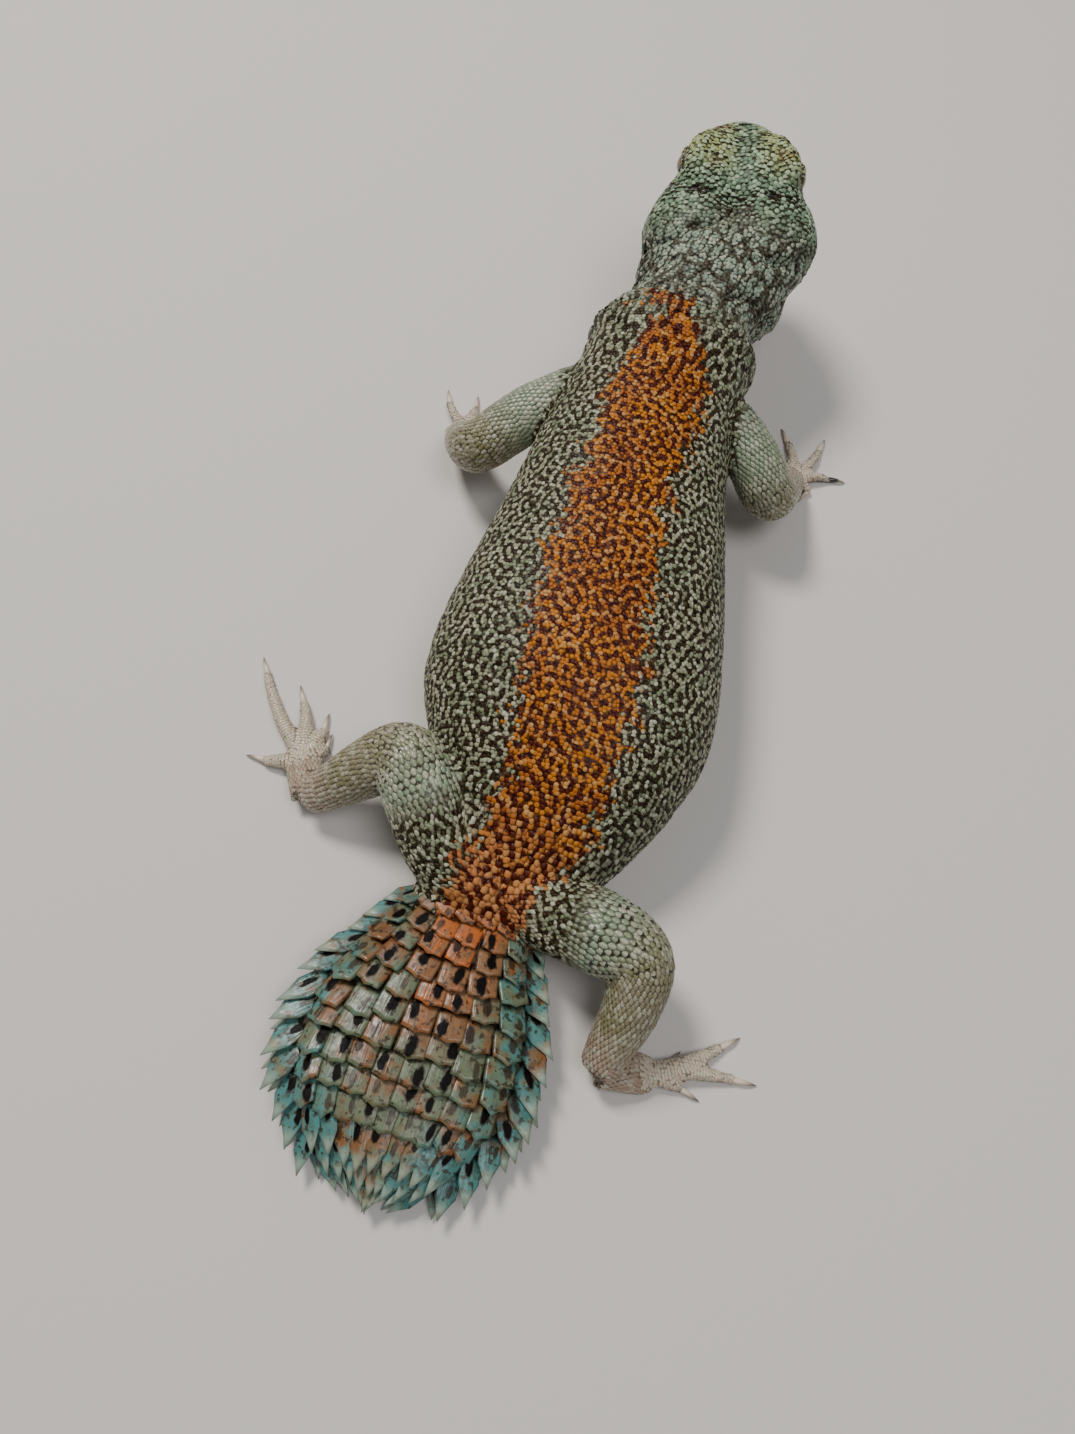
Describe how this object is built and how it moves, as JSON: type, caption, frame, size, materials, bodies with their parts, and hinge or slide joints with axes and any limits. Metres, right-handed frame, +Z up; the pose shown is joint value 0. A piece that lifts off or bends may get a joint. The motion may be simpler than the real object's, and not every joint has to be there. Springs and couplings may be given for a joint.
{
  "type": "spiny-tailed lizard figure",
  "caption": "Life-size spiny-tailed lizard standing low with its head raised, legs spread, and a broad flat tail ringed with pointed scales.",
  "frame": {"origin": "centre of the bounding box at the level of the floor", "axes": "+Y along the body towards the head, +X to the animal's right side, +Z up"},
  "size_m": [0.1036, 0.206, 0.0415],
  "materials": {
    "scaly_skin": "fine granular scales, satin",
    "leg_skin": "overlapping keeled scales, satin",
    "tail_scales": "hard keeled scales, half gloss",
    "eye_surface": "wet gloss"
  },
  "bodies": {
    "root": {"head": "scaly_skin", "neck": "scaly_skin", "torso": "scaly_skin", "tail": "tail_scales", "foreleg_upper_left": "leg_skin", "foreleg_lower_left": "leg_skin", "foreleg_foot_left": "leg_skin", "foreleg_upper_right": "leg_skin", "foreleg_lower_right": "leg_skin", "foreleg_foot_right": "leg_skin", "hindleg_upper_left": "leg_skin", "hindleg_lower_left": "leg_skin", "hindleg_foot_left": "leg_skin", "hindleg_upper_right": "leg_skin", "hindleg_lower_right": "leg_skin", "hindleg_foot_right": "leg_skin", "eye_left": "eye_surface", "eye_right": "eye_surface"}
  },
  "joints": []
}
